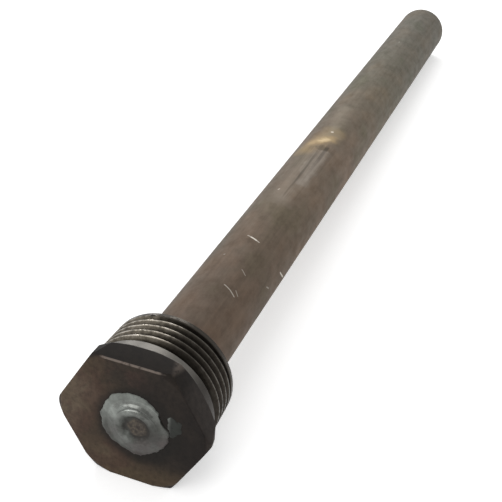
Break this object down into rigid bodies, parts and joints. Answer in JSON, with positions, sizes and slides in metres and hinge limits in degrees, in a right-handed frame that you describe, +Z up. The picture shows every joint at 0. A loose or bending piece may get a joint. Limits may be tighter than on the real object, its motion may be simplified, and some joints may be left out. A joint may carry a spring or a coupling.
{
  "type": "water heater anode rod",
  "caption": "Magnesium anode rod on a steel core wire, with a hexagon-headed tapered pipe plug welded to the wire, lying on its side.",
  "frame": {"origin": "middle of the underside of the box round the whole rod as it lies, on the ground plane", "axes": "+X along the rod from the hexagon head to the far end, leaning down by about 1.2 degrees, +Z up, one flat of the hexagon underneath"},
  "size_m": [0.2538, 0.0312, 0.0271],
  "materials": {
    "plug_steel": "forged and turned steel with a brown-black heat oxide, bright on the collar and thread crests",
    "magnesium": "extruded magnesium, dull grey-brown oxide with faint lengthwise streaks",
    "wire_steel": "plain carbon steel, sawn ends with a light brown tarnish",
    "weld_metal": "pale grey weld metal with soft ripples and a brown crater"
  },
  "bodies": {
    "root": {"hex_plug": "plug_steel", "anode_bar": "magnesium", "core_wire": "wire_steel", "weld_bead": "weld_metal"}
  },
  "joints": []
}
